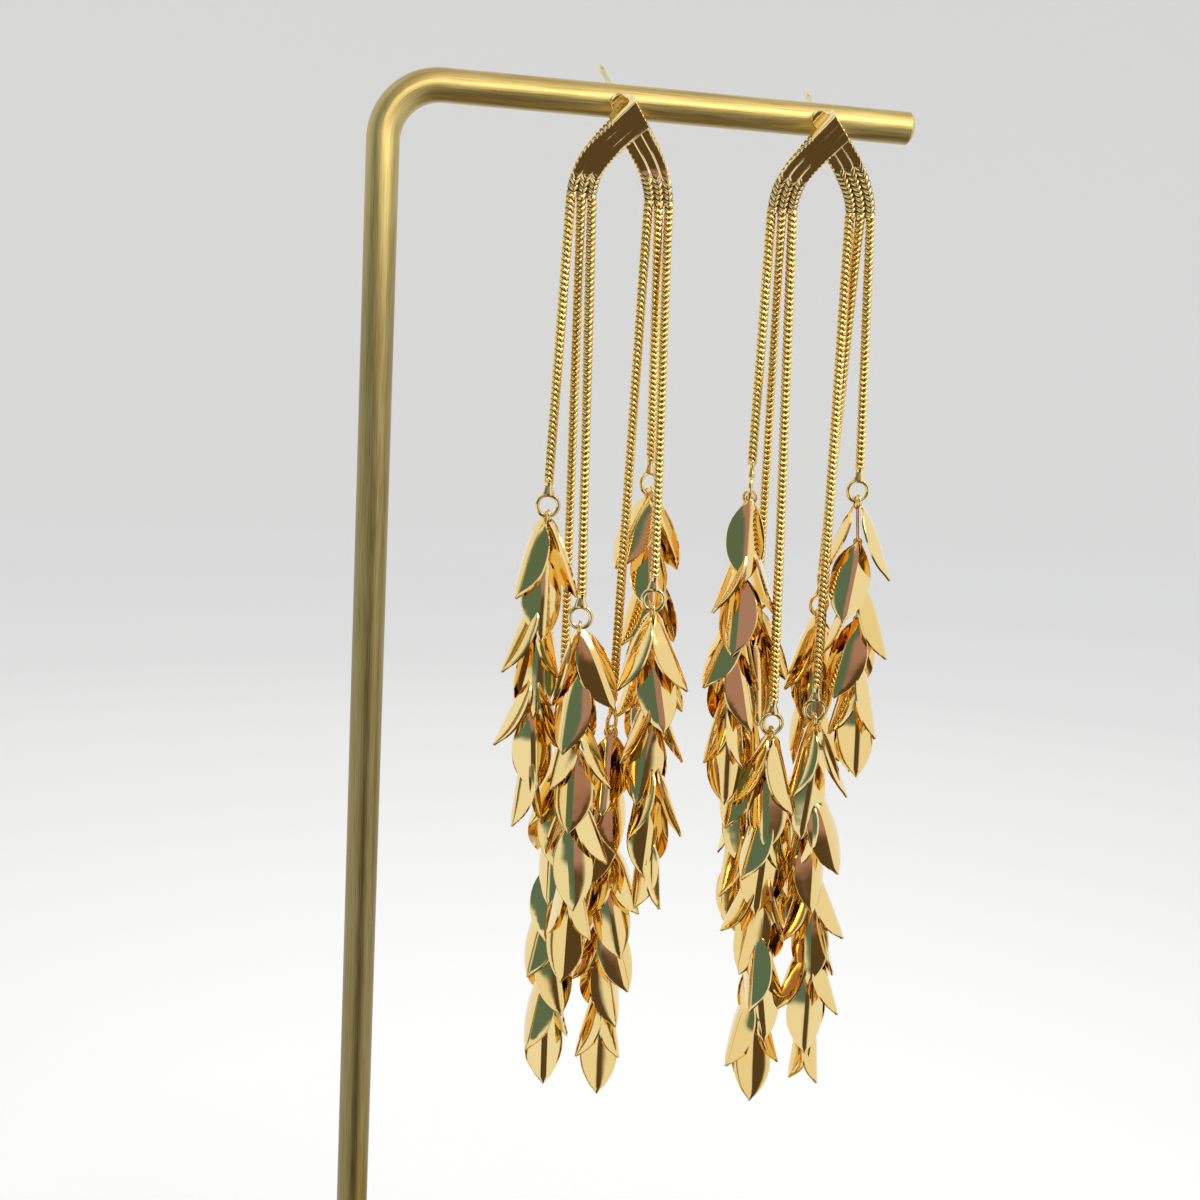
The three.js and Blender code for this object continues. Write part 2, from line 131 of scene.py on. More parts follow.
# side is -1 on the left and 1 on the right. chain is the chain's place on its band, 0 for the outermost.
# The ring's centre is at ring_x, ring_y and ring_drop below the arm's axis, and lean_x and lean_y are how
# far the last row is from under it. ring_turn and turn are in degrees.
DROP_FIELDS = ("name", "side", "chain", "ring_x", "ring_y", "ring_drop", "ring_turn", "rows", "length",
               "lean_x", "lean_y", "turn")
# ground is how far up the left and the right band the grinding starts, and seam how deep its seams are.
EARRINGS = [
    {"name": "earring_1", "x": -4.1, "post_tilt": 32, "turn": 6,
     "ground": (0.9, 1.5), "seam": (0.15, 1.0), "drops": [
        ("l_short", -1, 0, -7.1, -0.4, 49.8, 0, 7, 41.5, -0.9, 0.3, 0),
        ("l_mid", -1, 2, -3.0, -4.0, 63.5, -15, 8, 47.5, 0.3, -0.2, -40),
        ("l_long", -1, 1, -2.9, 3.2, 80.8, 10, 8, 48.2, -0.4, 0, 10),
        ("r_long", 1, 2, 3.3, 1.0, 78.4, 50, 9, 51.5, 0.7, 0, 65),
        ("r_mid", 1, 0, 6.6, -3.6, 61.2, -10, 7, 40.6, 1.4, -0.4, -15),
        ("r_short", 1, 1, 7.4, 3.7, 46.7, 20, 7, 41.4, 2.0, 0.6, 20),
    ]},
    {"name": "earring_2", "x": 21.8, "post_tilt": 26, "turn": -7,
     "ground": (2.4, 4.4), "seam": (0.7, 0.6), "drops": [
        ("l_short", -1, 0, -6.3, -0.6, 46.4, 80, 7, 41.8, -0.9, -0.6, -85),
        ("l_mid", -1, 1, -3.5, 4.2, 61.6, 0, 8, 46.5, -0.3, 0.3, 15),
        ("l_long", -1, 2, -1.5, -2.4, 77.3, 10, 10, 52.3, 0.3, 0, 0),
        ("r_long", 1, 2, 4.3, -1.5, 75.4, 0, 9, 52.0, 2.2, 0, -10),
        ("r_mid", 1, 1, 5.0, 4.6, 62.1, 20, 8, 46.2, -0.4, 0.3, 25),
        ("r_short", 1, 0, 8.0, 0.2, 46.2, 10, 6, 37.6, 2.1, -0.6, -12),
    ]},
]
for earring in EARRINGS:
    earring["drops"] = [dict(zip(DROP_FIELDS, row)) for row in earring["drops"]]

# The camera's turn about the plumb line, its tilt and its roll, as the photo's perspective gives them.
CAMERA_TURN = math.radians(-9.25)
CAMERA_TILT = math.radians(-8.23)
CAMERA_ROLL = math.radians(-3.15)
CAMERA_PLACE = (-30.384, -164.601, 142.28)


# ---------- Small sums ----------

def unit(v):
    """Each vector divided by its length."""
    return v / np.linalg.norm(v, axis=-1, keepdims=True)


def ease(x, start, end):
    """0 before start, 1 after end, and 3t^2 - 2t^3 of the share t between them."""
    t = np.clip((np.asarray(x, float) - start) / (end - start), 0, 1)
    return t * t * (3 - 2 * t)


def turn_z(angle):
    """The matrix of a turn about the plumb line, anticlockwise from above."""
    c, s = math.cos(angle), math.sin(angle)
    return np.array([[c, -s, 0], [s, c, 0], [0, 0, 1.0]])


def turn_x(angle):
    """The matrix of a turn about the line to the right, which lifts what faces back."""
    c, s = math.cos(angle), math.sin(angle)
    return np.array([[1.0, 0, 0], [0, c, -s], [0, s, c]])


def turn_y(angle):
    """The matrix of a turn about the line to the back, which moves what is up to the right."""
    c, s = math.cos(angle), math.sin(angle)
    return np.array([[c, 0, s], [0, 1.0, 0], [-s, 0, c]])


def linear(hex_colour):
    """An sRGB hex colour as linear red, green, blue and 1.

    A part c of the colour becomes c / 12.92 up to 0.04045, and ((c + 0.055) / 1.055)^2.4 above that.
    """
    parts = [int(hex_colour[i:i + 2], 16) / 255 for i in (1, 3, 5)]
    return tuple(c / 12.92 if c <= 0.04045 else ((c + 0.055) / 1.055) ** 2.4 for c in parts) + (1.0,)


# ---------- Skins ----------

def skin(points, joined=False, **attributes):
    """A closed skin over one or more stacks of rings.

    points has the shape (copies, rings, around, 3), each ring anticlockwise seen along the stack. The
    ends are closed with a fan to their middle, or the last ring joins the first. attributes are one
    number a point.
    """
    points = points[None] if points.ndim == 3 else points
    copies, rings, around, _ = points.shape
    index = np.arange(copies * rings * around).reshape(copies, rings, around)
    beside = np.roll(index, -1, axis=2)
    if joined:
        quads = np.stack([index, beside, np.roll(beside, -1, axis=1), np.roll(index, -1, axis=1)], -1)
        return {"verts": points.reshape(-1, 3), "quads": quads.reshape(-1, 4), "tris": np.zeros((0, 3), int),
                "data": {k: np.broadcast_to(v, points.shape[:3]).reshape(-1) for k, v in attributes.items()}}
    quads = np.stack([index[:, :-1], beside[:, :-1], beside[:, 1:], index[:, 1:]], -1)
    middles = np.stack([points[:, 0].mean(1), points[:, -1].mean(1)], 1)
    first = index.size + 2 * np.arange(copies)[:, None]
    low = np.stack(np.broadcast_arrays(first, beside[:, 0], index[:, 0]), -1)
    high = np.stack(np.broadcast_arrays(first + 1, index[:, -1], beside[:, -1]), -1)
    data = {}
    for key, value in attributes.items():
        value = np.broadcast_to(value, points.shape[:3])
        ends = np.stack([value[:, 0].mean(1), value[:, -1].mean(1)], 1)
        data[key] = np.concatenate([value.reshape(-1), ends.reshape(-1)])
    return {"verts": np.concatenate([points.reshape(-1, 3), middles.reshape(-1, 3)]),
            "quads": quads.reshape(-1, 4),
            "tris": np.concatenate([low.reshape(-1, 3), high.reshape(-1, 3)]), "data": data}


def swept(path, section, side):
    """A section carried along a path: path point + side * across + (tangent x side) * through.

    section is (around, 2) or (rings, around, 2), and side is about square to the path.
    """
    tangent = unit(np.gradient(path, axis=0))
    side = np.broadcast_to(side, path.shape)
    side = unit(side - tangent * (side * tangent).sum(-1, keepdims=True))
    through = np.cross(tangent, side)
    section = np.broadcast_to(section, (len(path),) + section.shape[-2:])
    return path[:, None] + side[:, None] * section[..., :1] + through[:, None] * section[..., 1:]


def circle(radius, count, start=0.0):
    """Points at equal angles round a circle."""
    angle = start + np.arange(count) * 2 * math.pi / count
    return radius * np.stack([np.cos(angle), np.sin(angle)], -1)


def turned(profile, count):
    """Rows of (radius, height) turned about the upright axis, from the bottom row to the top row."""
    profile = np.asarray(profile, float)
    ring = circle(1.0, count)
    flat = profile[:, None, :1] * ring[None]
    return np.concatenate([flat, np.broadcast_to(profile[:, None, 1:], flat.shape[:2] + (1,))], -1)


def hoop(radius, wire, steps, around):
    """A ring of round wire in the upright plane facing front: a circle of wire carried round a circle."""
    angle = np.arange(steps) * 2 * math.pi / steps
    out = np.stack([np.cos(angle), np.zeros(steps), np.sin(angle)], -1)
    section = circle(wire, around)
    return out[:, None] * (radius + section[None, :, :1]) + np.array([0, 1.0, 0]) * section[None, :, 1:]


def placed(points, matrix=None, origin=(0, 0, 0)):
    """Points turned by a matrix and then moved to an origin."""
    points = points if matrix is None else points @ np.asarray(matrix).T
    return points + np.asarray(origin, float)


# ---------- Pieces ----------

def make_piece(name, skins, material, nodes, crease=40):
    """One mesh of several skins, in metres, that rides on the stand's body and stands for the CAD nodes."""
    starts = np.cumsum([0] + [len(s["verts"]) for s in skins])
    verts = np.concatenate([s["verts"] for s in skins]) * MM
    quads = np.concatenate([s["quads"] + start for s, start in zip(skins, starts)])
    tris = np.concatenate([s["tris"] + start for s, start in zip(skins, starts)])
    mesh = bpy.data.meshes.new(name)
    loops = np.concatenate([quads.reshape(-1), tris.reshape(-1)]).astype(np.int32)
    sizes = np.concatenate([np.full(len(quads), 4), np.full(len(tris), 3)]).astype(np.int32)
    mesh.vertices.add(len(verts))
    mesh.vertices.foreach_set("co", verts.astype(np.float32).reshape(-1))
    mesh.loops.add(len(loops))
    mesh.loops.foreach_set("vertex_index", loops)
    mesh.polygons.add(len(sizes))
    mesh.polygons.foreach_set("loop_start", (np.cumsum(sizes) - sizes).astype(np.int32))
    mesh.update(calc_edges=True)
    mesh.validate()
    keys = sorted(set(key for s in skins for key in s["data"]))
    for key in keys:
        values = np.concatenate([s["data"].get(key, np.zeros(len(s["verts"]))) for s in skins])
        mesh.attributes.new(key, "FLOAT", "POINT").data.foreach_set("value", values.astype(np.float32))
    mesh.polygons.foreach_set("use_smooth", np.ones(len(sizes), bool))
    mesh.set_sharp_from_angle(angle=math.radians(crease))
    mesh.materials.append(material)
    piece = bpy.data.objects.new(name, mesh)
    bpy.context.scene.collection.objects.link(piece)
    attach(piece, "root")
    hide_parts(*nodes)
    return piece


# ---------- Materials ----------

def add(tree, kind, links=None, **settings):
    """Adds a node. settings are its own properties or its inputs by name; links are its inputs' sources."""
    node = tree.nodes.new(kind)
    for key, value in settings.items():
        if hasattr(node, key):
            setattr(node, key, value)
        else:
            node.inputs[key.replace("_", " ")].default_value = value
    for key, source in (links or {}).items():
        target = node.inputs[key] if isinstance(key, int) else node.inputs[key.replace("_", " ")]
        tree.links.new(source, target)
    return node


def new_material(name):
    """An empty material with its output, ready for nodes."""
    material = bpy.data.materials.new(name)
    material.use_nodes = True
    tree = material.node_tree
    tree.nodes.clear()
    return material, tree, add(tree, "ShaderNodeOutputMaterial")


def ramp(tree, source, stops):
    """A colour ramp through stops of (place, hex colour)."""
    node = add(tree, "ShaderNodeValToRGB", {"Fac": source})
    elements = node.color_ramp.elements
    while len(elements) < len(stops):
        elements.new(0.5)
    for element, (place, colour) in zip(elements, stops):
        element.position = place
        element.color = linear(colour)
    return node.outputs["Color"]


def stored(tree, key):
    """A number stored at each point of the mesh."""
    return add(tree, "ShaderNodeAttribute", attribute_name=key).outputs["Fac"]


def remap(tree, value, start, end, low=0.0, high=1.0, **settings):
    """A number that goes from low to high as the value goes from start to end, level beyond them."""
    return add(tree, "ShaderNodeMapRange", {"Value": value}, From_Min=start, From_Max=end, To_Min=low,
               To_Max=high, **settings).outputs[0]


def calculated(tree, operation, a, b):
    """The sum or the product of two numbers."""
    return add(tree, "ShaderNodeMath", {0: a, 1: b}, operation=operation).outputs[0]


def brushed_brass():
    """Solid brass drawn and brushed lengthwise: satin, with fine long streaks and a few darker rubbed marks.

    lay_along, lay_across and lay_through are the places along, across and through the brushing, in
    millimetres.
    """
    material, tree, out = new_material("brushed_brass")
    lay = stored(tree, "lay_along")
    place = add(tree, "ShaderNodeCombineXYZ", {"X": lay, "Y": stored(tree, "lay_across"),
                                               "Z": stored(tree, "lay_through")}).outputs[0]
    # The brush lines are about 0.02 mm wide on the real bar; 0.12 mm is as fine as shows.
    lines = add(tree, "ShaderNodeMapping", {"Vector": place}, Scale=(0.16, 8.0, 8.0)).outputs[0]
    streak = add(tree, "ShaderNodeTexNoise", {"Vector": lines}, Scale=1.0, Detail=3.0).outputs["Fac"]
    patches = add(tree, "ShaderNodeMapping", {"Vector": place}, Scale=(0.09, 0.5, 0.5)).outputs[0]
    patch = add(tree, "ShaderNodeTexNoise", {"Vector": patches}, Scale=1.0, Detail=2.0).outputs["Fac"]
    both = calculated(tree, "ADD", streak, remap(tree, patch, 0.0, 1.0, 0.32, 0.68))
    colour = ramp(tree, remap(tree, both, 0.75, 1.3), [(0.0, "#B49A54"), (0.5, "#D4BA70"), (1.0, "#E6D08C")])
    # The upright and the foot are painted at half brightness, a painted shade; the arm is painted at full
    # brightness.
    painted_shade_factor = remap(tree, lay, 150.0, 186.0, 0.5, 1.0)
    colour = add(tree, "ShaderNodeVectorMath", {0: colour, 1: painted_shade_factor}, operation="MULTIPLY").outputs[0]
    rough = remap(tree, both, 0.7, 1.3, 0.38, 0.5)
    bump = add(tree, "ShaderNodeBump", {"Height": streak}, Strength=0.25, Distance=0.00003).outputs[0]
    shader = add(tree, "ShaderNodeBsdfPrincipled", {"Base Color": colour, "Roughness": rough, "Normal": bump},
                 Metallic=1.0)
    tree.links.new(shader.outputs[0], out.inputs[0])
    return material


def polished_gold(name, tint, rough, wave, wave_scale, dark="#3A2408"):
    """Gold plate over brass, buffed to a mirror and a little uneven.

    It is painted dark where the groove shade is 1, a painted shade in the gaps and hollows, and it is rougher
    there, where the buff can't reach. wave is how strong the unevenness is, and wave_scale is about how
    many waves there are to a metre.
    """
    material, tree, out = new_material(name)
    place = add(tree, "ShaderNodeTexCoord").outputs["Object"]
    ripple = add(tree, "ShaderNodeTexNoise", {"Vector": place}, Scale=wave_scale, Detail=2.0).outputs["Fac"]
    # The groove shade is a painted shade: it darkens the colour and makes the surface rougher.
    groove = stored(tree, "groove")
    # Leaves plated in different batches differ a little; leaf_number is 0 on everything else.
    batch = ramp(tree, stored(tree, "leaf_number"), [(0.0, tint), (1.0, "#F3CC78")])
    colour = add(tree, "ShaderNodeMix", {0: groove, 6: batch}, data_type="RGBA")
    colour.inputs[7].default_value = linear(dark)
    total = calculated(tree, "ADD", remap(tree, groove, 0.0, 1.0, rough, 0.45),
                       remap(tree, ripple, 0.35, 0.75, 0.0, 0.05))
    bump = add(tree, "ShaderNodeBump", {"Height": ripple}, Strength=wave, Distance=0.0001).outputs[0]
    shader = add(tree, "ShaderNodeBsdfPrincipled",
                 {"Base Color": colour.outputs[2], "Roughness": total, "Normal": bump}, Metallic=1.0)
    tree.links.new(shader.outputs[0], out.inputs[0])
    return material


BRASS = brushed_brass()
CROWN_GOLD = polished_gold("polished_gold_plate", "#F8D88C", 0.07, 0.25, 900.0)
RING_GOLD = polished_gold("polished_gold_wire", "#F8DC94", 0.08, 0.2, 900.0)
CHAIN_GOLD = polished_gold("gold_chain_links", "#F6D078", 0.14, 0.1, 2000.0, "#4A2C08")
LEAF_GOLD = polished_gold("pressed_gold_leaf_sheet", "#F8D88C", 0.06, 0.35, 260.0)
POST_METAL = polished_gold("gilt_silver_post", "#ECD88A", 0.3, 0.2, 900.0)


# ---------- Stand ----------

def rod_skin():
    """A round bar carried up, through a quarter circle and along the arm, with a chamfered end."""
    bend = np.linspace(0, math.pi / 2, 33)
    corner = np.stack([UPRIGHT_X + ROD_BEND * (1 - np.cos(bend)), 0 * bend,
                       ARM_HEIGHT - ROD_BEND * (1 - np.sin(bend))], -1)
    heights = (ROD_FOOT, ROD_FOOT + 0.01, ARM_HEIGHT / 2, ARM_HEIGHT - ROD_BEND - 3.0)
    upright = np.array([[UPRIGHT_X, 0, z] for z in heights])
    chamfer_start = ARM_END_X - ROD_CHAMFER
    # The arm's rings, as (place, how much thinner): straight, an eased corner and the chamfer.
    arm = [(0.0, 0.0), (chamfer_start - 0.25, 0.0), (chamfer_start - 0.05, 0.005),
           (chamfer_start + 0.03, 0.06), (ARM_END_X - 0.04, ROD_CHAMFER - 0.03), (ARM_END_X, ROD_CHAMFER)]
    path = np.concatenate([upright, corner, np.array([[x, 0, ARM_HEIGHT] for x, _ in arm])])
    radius = np.full(len(path), ROD_RADIUS)
    radius[-len(arm):] = [ROD_RADIUS - thinner for _, thinner in arm]
    along = np.concatenate([[0], np.cumsum(np.linalg.norm(np.diff(path, axis=0), axis=1))])
    section = circle(1.0, 96)[None] * radius[:, None, None]
    return skin(swept(path, section, np.array([0, 1.0, 0])), lay_along=along[None, :, None],
                lay_across=section[None, :, :, 0], lay_through=section[None, :, :, 1])


def base_skin():
    """A plate with rounded corners, softened edges and a blind socket, as one run of outlines.

    The run goes from the underside's middle out, up the side, back in over the top to the socket's mouth
    and down to its floor.
    """
    to_corner = 32
    mouth_ease = 0.15
    quarter = np.linspace(0, math.pi / 2, to_corner)
    angle = np.concatenate([quarter + i * math.pi / 2 for i in range(4)])
    outward = np.stack([np.cos(angle), np.sin(angle)], -1)
    corner_middles = np.repeat([(1, 1), (-1, 1), (-1, -1), (1, -1)], to_corner, axis=0)
    corner_middles = corner_middles * [BASE_HALF_WIDTH - BASE_CORNER, BASE_HALF_DEPTH - BASE_CORNER]
    outline = corner_middles + BASE_CORNER * outward
    arc = np.linspace(0, math.pi / 2, 6)
    rows = [(outline * 0.02, 0.0)]
    rows += [(outline - outward * BASE_EDGE * (1 - math.sin(a)), BASE_EDGE * (1 - math.cos(a))) for a in arc]
    rows += [(outline - outward * BASE_EDGE * (1 - math.cos(a)),
              BASE_THICKNESS - BASE_EDGE * (1 - math.sin(a))) for a in arc]
    centre = np.array([UPRIGHT_X, 0])
    mouth = unit(outline - centre)
    rows += [(centre + mouth * (SOCKET_RADIUS + mouth_ease), BASE_THICKNESS),
             (centre + mouth * SOCKET_RADIUS, BASE_THICKNESS - mouth_ease),
             (centre + mouth * SOCKET_RADIUS, SOCKET_FLOOR)]
    points = np.stack([np.concatenate([flat, np.full((len(outline), 1), z)], -1) for flat, z in rows])
    return skin(points, lay_along=points[None, ..., 0] + PLATE_LAY, lay_across=points[None, ..., 1],
                lay_through=points[None, ..., 2])


# ---------- Crowns ----------

def earring_place(earring):
    """The turn and the origin of an earring's plumb line."""
    return turn_z(math.radians(earring["turn"])), np.array([earring["x"], 0, ARM_HEIGHT])


def sheet_at(earring, height):
    """The crown's sheet at a height: straight at the post's tilt, an arc down to plumb, then plumb.

    Gives the sheet's depth and height, and the depth and height of its normal towards the back.
    """
    height = np.asarray(height, float)
    tilt = math.radians(earring["post_tilt"])
    from_axis = ROD_RADIUS + CLEARANCE + PAD_THICKNESS + BAND_OFFSET + BAND_THICKNESS / 2
    post_y = -from_axis * math.cos(tilt) - POST_ABOVE_AXIS * math.sin(tilt)
    post_z = -from_axis * math.sin(tilt) + POST_ABOVE_AXIS * math.cos(tilt)
    straight = np.maximum(height, -LEAN_STRAIGHT)
    curved = np.clip(-LEAN_STRAIGHT - height, 0, LEAN_CURVE)
    plumb = np.maximum(-LEAN_STRAIGHT - LEAN_CURVE - height, 0)
    radius = LEAN_CURVE / tilt
    angle = tilt - curved / radius
    y = post_y - straight * math.sin(tilt) + radius * (np.cos(angle) - math.cos(tilt))
    z = post_z + straight * math.cos(tilt) - radius * (math.sin(tilt) - np.sin(angle)) - plumb
    return y, z, np.cos(angle), np.sin(angle)


def band_points(earring, side, along, across, through):
    """Places on a band: up along its curve and straight, across it, and through it towards the back."""
    curve = BAND_BEND * BAND_SWEEP
    angle = np.minimum(along / BAND_BEND, BAND_SWEEP)
    straight = np.maximum(along - curve, 0)
    x = -BAND_FOOT_X + BAND_BEND * (1 - np.cos(angle)) + straight * np.sin(angle) + across * np.cos(angle)
    height = (-BAND_FOOT_DROP + BAND_BEND * np.sin(angle) + straight * np.cos(angle)) - across * np.sin(angle)
    y, z, normal_y, normal_z = sheet_at(earring, height)
    through = through + side * BAND_OFFSET * ease(along, 0, BAND_LENGTH / 2)
    return np.stack([-side * x, y + through * normal_y, z + through * normal_z], -1)


def link_rows(length):
    """The number of whole links in a length, their pitch, and where the rings of their skin lie, in links."""
    links = int(round(length / LINK_PITCH))
    rows = np.append((np.arange(links)[:, None] + LINK_STEPS[None]).reshape(-1), links)
    return links, length / links, rows


def bead(share):
    """The height of a link from one gap to the next: a half circle."""
    return np.sqrt(np.clip(1 - (2 * (share % 1.0) - 1) ** 2, 0, 1))


def band_skin(earring, side):
    """Three chains side by side, soldered and ground flat towards the top.

    The section is a rectangle with eased corners. Its depth is multiplied by the three chains' round tops
    where the links show, and by a flat top with two fine seams where it is ground. The chains' edge is
    filed smooth near the cut end. Gives the points and the painted shade of each, darkest in the gaps
    between links, in the notches and where the chains meet.
    """
    links, pitch, row = link_rows(BAND_LENGTH)
    half_w, half_t, third = BAND_WIDTH / 2, BAND_THICKNESS / 2, BAND_WIDTH / 3
    link_v, notch_depth, seam_depth, seam_width = 0.7, 0.2, 0.14, 0.05
    ground_fade, filed_fade = 2.0, 0.7
    filed_length = 4.2 if side < 0 else 1.5

    # The section goes along the right edge, the back, the left edge and the front. px is -1 at the left
    # and 1 at the right, and py is -1 at the front and 1 at the back.
    chain_face = np.array([-0.97, -0.88, -0.66, -0.33, 0.0, 0.33, 0.66, 0.88, 0.97]) * third / 2
    face = np.concatenate([chain_face - third, chain_face, chain_face + third]) / half_w
    wall = np.array([-1, -0.6, -0.2, 0.2, 0.6, 1.0])
    px = np.concatenate([np.ones(len(wall)), -face, -np.ones(len(wall)), face])
    py = np.concatenate([wall, np.ones(len(face)), -wall, -np.ones(len(face))])
    # c is 0 in the middle of each chain and 1 at its sides.
    from_middle = px * half_w - np.clip(np.round(px * half_w / third), -1, 1) * third
    c = np.clip(np.abs(from_middle) / (third / 2), 0, 1)
    x0 = px * (half_w - 0.1 * np.abs(py) ** 6)
    y0 = py * (half_t - 0.08 * np.abs(px) ** 12)

    ends = ease(row, 0, 1.5) * ease(links - row, 0, 1.5)
    along = np.clip((row[:, None] + link_v * (c[None] - 0.5) * ends[:, None]) * pitch, 0, BAND_LENGTH)
    ground_from = earring["ground"][side > 0] + 0.5 * (1 + px[None])
    flat = ease(along, ground_from, ground_from + ground_fade)
    gap = 1 - bead(row)[:, None] * np.ones_like(along)
    gap[0] = gap[-1] = 0.2
    rounded = np.sqrt(1 - 0.86 * c ** 2)[None]
    in_seam = np.exp(-((1 - c) / seam_width) ** 2)[None] * (np.abs(px) < 0.8)
    seam = 1 - seam_depth * earring["seam"][side > 0] * in_seam
    lobe = (1 - flat) * rounded * (1 - 0.4 * gap) + flat * seam
    edge = ease(np.abs(px), 0.86, 0.97)[None]
    filed_from = BAND_LENGTH - filed_length
    notch = gap * (1 - ease(along, filed_from, filed_from + filed_fade)) * edge
    x = x0[None] - np.sign(px)[None] * notch_depth * notch
    # The left band crosses in front, and stands out more there.
    thicker = 1 + 0.5 * ease(along, 4.0, 8.0) * (py < 0)[None] * (side < 0)
    y = y0[None] * lobe * thicker
    # Painted shade, darker in the gaps between links, in the notches and where the chains meet.
    groove = np.clip(gap * (1 - flat) * 0.9 + 0.7 * notch + 0.4 * (1 - flat) * c[None] ** 6, 0, 1)
    flush = CUT_SLOPE * (x + half_w) * ease(along, BAND_LENGTH - 3.0, BAND_LENGTH)
    points = band_points(earring, side, along - flush, x, y)
    if side > 0:
        points, groove = points[:, ::-1], groove[:, ::-1]
    return points, groove


def post_skins(earring):
    """The post, with a notch near its tip, and the small open cup that it is soldered in.

    Both are turned from rows of (radius, height). The cup's inside is painted dark as a groove, a painted
    shade.
    """
    back = BAND_OFFSET + BAND_THICKNESS / 2
    tip = back + POST_LENGTH
    notch_radius = POST_RADIUS - 0.09
    rows = [(POST_RADIUS, back - 0.1), (POST_RADIUS, back + 0.6), (POST_RADIUS, tip - 2.3),
            (notch_radius, tip - 2.15), (notch_radius, tip - 1.75), (POST_RADIUS, tip - 1.6)]
    rows += [(0.02 + (POST_RADIUS - 0.02) * math.cos(a), tip - POST_RADIUS * (1 - math.sin(a)))
             for a in np.linspace(0, math.pi / 2, 6)]
    cup_rows = [(PAD_RADIUS - 0.1, back - 0.2), (PAD_RADIUS, back), (PAD_RADIUS, back + PAD_THICKNESS - 0.08),
                (PAD_RADIUS - 0.08, back + PAD_THICKNESS), (PAD_RADIUS - 0.3, back + PAD_THICKNESS),
                (PAD_RADIUS - 0.4, back + PAD_THICKNESS - 0.1), (PAD_RADIUS - 0.55, back + 0.05)]
    # Painted shade: the cup is painted dark inside.
    inside_shade = np.array([0, 0, 0, 0, 0.3, 1.0, 1.0])
    y, z, _, _ = sheet_at(earring, 0.0)
    tilt = turn_x(-(math.pi / 2 - math.radians(earring["post_tilt"])))
    matrix, origin = earring_place(earring)
    post = placed(placed(turned(rows, 24), tilt, (POST_X, y, z)), matrix, origin)
    cup = placed(placed(turned(cup_rows, 32), tilt, (POST_X, y, z)), matrix, origin)
    return skin(post), skin(cup, groove=inside_shade[None, :, None])


# ---------- Chains ----------

def ring_centre(drop):
    """The middle of a drop's ring, from the earring's origin."""
    return np.array([drop["ring_x"], drop["ring_y"], -drop["ring_drop"]])


def chain_top(earring, drop):
    """A chain leaves its band a gap below the band's foot."""
    y, z, _, _ = sheet_at(earring, -BAND_FOOT_DROP)
    x = drop["side"] * (BAND_FOOT_X + (1 - drop["chain"]) * CHAIN_SPACING)
    return np.array([x, float(y), float(z) - CLEARANCE])


def chain_foot(drop):
    """A chain ends a gap above its ring's cap."""
    return ring_centre(drop) + np.array([0, 0, RING_RADIUS + CAP_HEIGHT + CLEARANCE])


def chain_skin(earring, drop, twist):
    """A taut round chain that turns slowly on itself.

    Its radius dips at each gap between links, and the gaps run in a V on four sides of the chain. The
    ends reach past the frame's gaps, into the band and the cap.
    """
    top, foot = chain_top(earring, drop), chain_foot(drop)
    down = unit(foot - top)
    top, foot = top - down * (CLEARANCE + 0.5), foot + down * (CLEARANCE + 0.2)
    length = np.linalg.norm(top - foot)
    links, pitch, row = link_rows(length)
    link_v, around = 0.85, 16
    angle = np.arange(around) * 2 * math.pi / around
    # c is 0 on the middle of each of the four sides and 1 at their edges.
    c = np.abs(((angle / (math.pi / 2)) + 1) % 2 - 1)
    ends = ease(row, 0, 1.0) * ease(links - row, 0, 1.0)
    along = np.clip((row[:, None] + link_v * (c[None] - 0.5) * ends[:, None]) * pitch, 0, length)
    gap = 1 - bead(row)
    gap[0] = gap[-1] = 0.3
    radius = CHAIN_RADIUS * (1.12 - 0.4 * gap)[:, None] * (1 - 0.11 * np.abs(2 * c - 1) ** 4)[None]
    side = unit(np.cross(down, np.array([0, 1.0, 0])))
    other = np.cross(down, side)
    spin = angle[None] + twist + math.radians(14) * np.sin(row / links * 5.0 + twist)[:, None]
    points = (top + down * along[..., None] + radius[..., None] *
              (side * np.cos(spin)[..., None] + other * np.sin(spin)[..., None]))
    matrix, origin = earring_place(earring)
    # Painted shade: the gaps between the links are painted darker.
    return skin(placed(points, matrix, origin), groove=np.clip(gap * 0.85, 0, 1)[None, :, None])


def ring_skins(earring, drop):
    """The chain's cap, a flattened bell with a collar, and the ring itself."""
    top = RING_RADIUS + CAP_HEIGHT
    foot = RING_RADIUS - 0.1
    share = np.linspace(0, 1, 9)
    bell = CAP_FOOT_RADIUS + (CAP_TOP_RADIUS - CAP_FOOT_RADIUS) * ease(share, 0, 0.95)
    rows = [(CAP_FOOT_RADIUS - 0.22, foot + 0.12), (CAP_FOOT_RADIUS - 0.1, foot),
            (CAP_FOOT_RADIUS, foot + 0.06)]
    rows += [(radius, foot + 0.1 + s * (0.72 * CAP_HEIGHT)) for radius, s in zip(bell, share)]
    rows += [(CAP_TOP_RADIUS + 0.1, top - 0.36), (CAP_TOP_RADIUS + 0.12, top - 0.22),
             (CAP_TOP_RADIUS + 0.1, top - 0.08), (CAP_TOP_RADIUS, top)]
    matrix, origin = earring_place(earring)
    turn = turn_z(math.radians(drop["ring_turn"]))
    flattened = np.array([1.0, 0.72, 1.0])
    cap = placed(placed(turned(rows, 20) * flattened, turn, ring_centre(drop)), matrix, origin)
    ring = placed(placed(hoop(RING_RADIUS, RING_WIRE, 48, 14), turn, ring_centre(drop)), matrix, origin)
    return [skin(cap), skin(ring, joined=True)]


# ---------- Drops of leaves ----------

